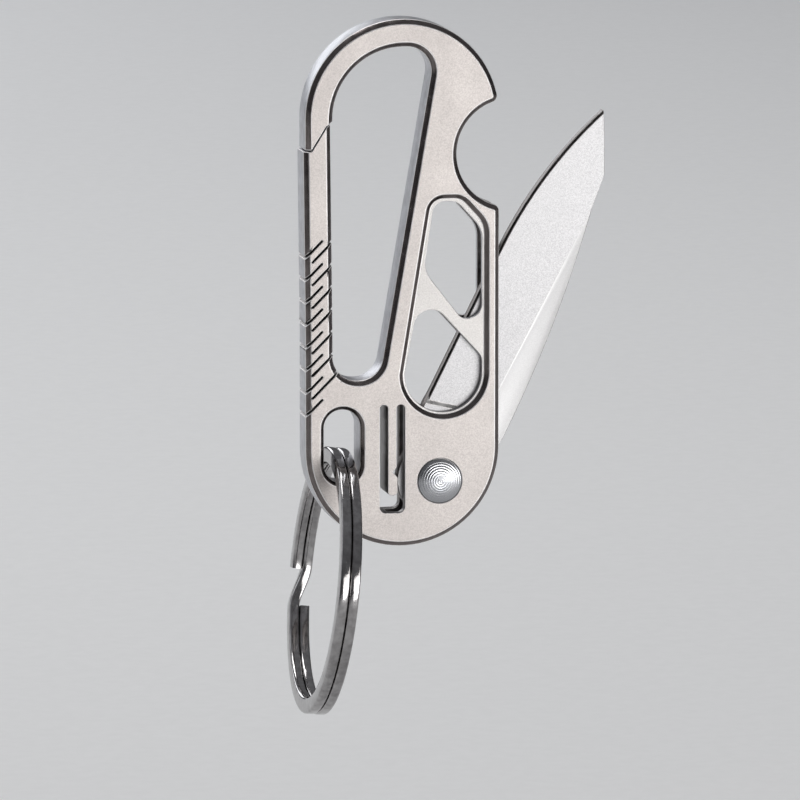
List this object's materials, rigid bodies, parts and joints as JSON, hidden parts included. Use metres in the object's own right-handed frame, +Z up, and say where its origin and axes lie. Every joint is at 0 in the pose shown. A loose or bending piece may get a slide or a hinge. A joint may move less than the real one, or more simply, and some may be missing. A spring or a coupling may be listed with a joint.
{
  "type": "carabiner key tool",
  "caption": "Flat titanium carabiner key tool with a flexing spring gate, bottle-opener hook, folding slip-joint blade and split key ring.",
  "frame": {"origin": "crown of the carabiner opening, the highest point of its inner edge, at mid-thickness: where the tool hangs", "axes": "+Z up along the body, +X to the right towards the side the blade opens to, +Y to the back; the front face with the domed pivot head looks along -Y"},
  "size_m": [0.0369, 0.0321, 0.0835],
  "materials": {
    "blasted_titanium": "bead-blasted titanium, warm light grey, matt, with bright worn edges",
    "blade_steel": "bead-blasted stainless flats with a satin flat grind",
    "turned_steel": "lathe-turned, concentric marks, half bright",
    "washer_bronze": "plain phosphor bronze",
    "dark_nickel": "glossy dark nickel plating"
  },
  "bodies": {
    "body": {"frame": "blasted_titanium", "gate_spring": "blasted_titanium", "pivot_barrel": "turned_steel", "pivot_screw": "turned_steel", "front_washer": "washer_bronze", "back_washer": "washer_bronze"},
    "gate": {"gate_arm": "blasted_titanium"},
    "detent": {"detent_tongue": "blasted_titanium"},
    "knife": {"blade": "blade_steel"},
    "ring": {"split_ring": "dark_nickel"}
  },
  "joints": [
    {"name": "blade_fold", "type": "hinge", "parent": "body", "child": "knife", "pos_m": [0.00445, 0, -0.05215], "axis": [0, 1, 0], "range_deg": [-21.6, 158.4]},
    {"name": "gate_swing", "type": "hinge", "parent": "body", "child": "gate", "pos_m": [-0.0104, 0, -0.03305], "axis": [0, 1, 0], "range_deg": [0, 12], "stiffness_Nm_per_rad": 0.3, "deforming": ["gate_spring"]},
    {"name": "detent_flex", "type": "hinge", "parent": "body", "child": "detent", "pos_m": [-0.00133, 0, -0.0448], "axis": [0, 1, 0], "range_deg": [0, 3], "stiffness_Nm_per_rad": 1.5, "deforming": ["detent_tongue"]},
    {"name": "ring_swing", "type": "hinge", "parent": "body", "child": "ring", "pos_m": [-0.00795, 0, -0.05435], "axis": [0.9935, -0.0208, -0.1115], "range_deg": [-58, 58]}
  ]
}
